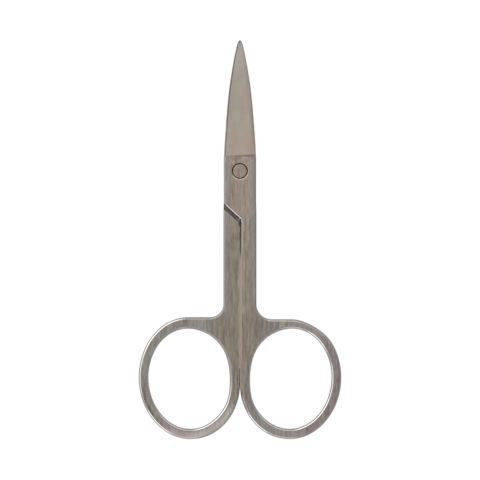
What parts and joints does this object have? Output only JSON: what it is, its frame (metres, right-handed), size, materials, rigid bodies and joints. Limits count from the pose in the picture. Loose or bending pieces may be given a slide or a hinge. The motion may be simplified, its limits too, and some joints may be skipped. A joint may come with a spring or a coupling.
{
  "type": "curved manicure scissors",
  "caption": "Curved manicure scissors with tapered upswept blades, a slotted pivot screw in a halved joint, straight shanks and oval finger rings.",
  "frame": {"origin": "middle of the closed scissors' outline, at the flat back they lie on", "axes": "+Y towards the blades' tips, +Z out of the screw head, the way the blades curve up, +X to the ring of the half on top"},
  "size_m": [0.0458, 0.09, 0.0073],
  "materials": {
    "satin_steel": "satin ground stainless steel with polished rims",
    "screw_steel": "turned stainless steel"
  },
  "bodies": {
    "rear": {"rear_half": "satin_steel", "pivot_screw": "screw_steel"},
    "front": {"front_half": "satin_steel"}
  },
  "joints": [
    {"name": "opening", "type": "hinge", "parent": "rear", "child": "front", "pos_m": [0, 0.0155, 0.00125], "axis": [0, 0, 1], "range_deg": [0, 120]}
  ]
}
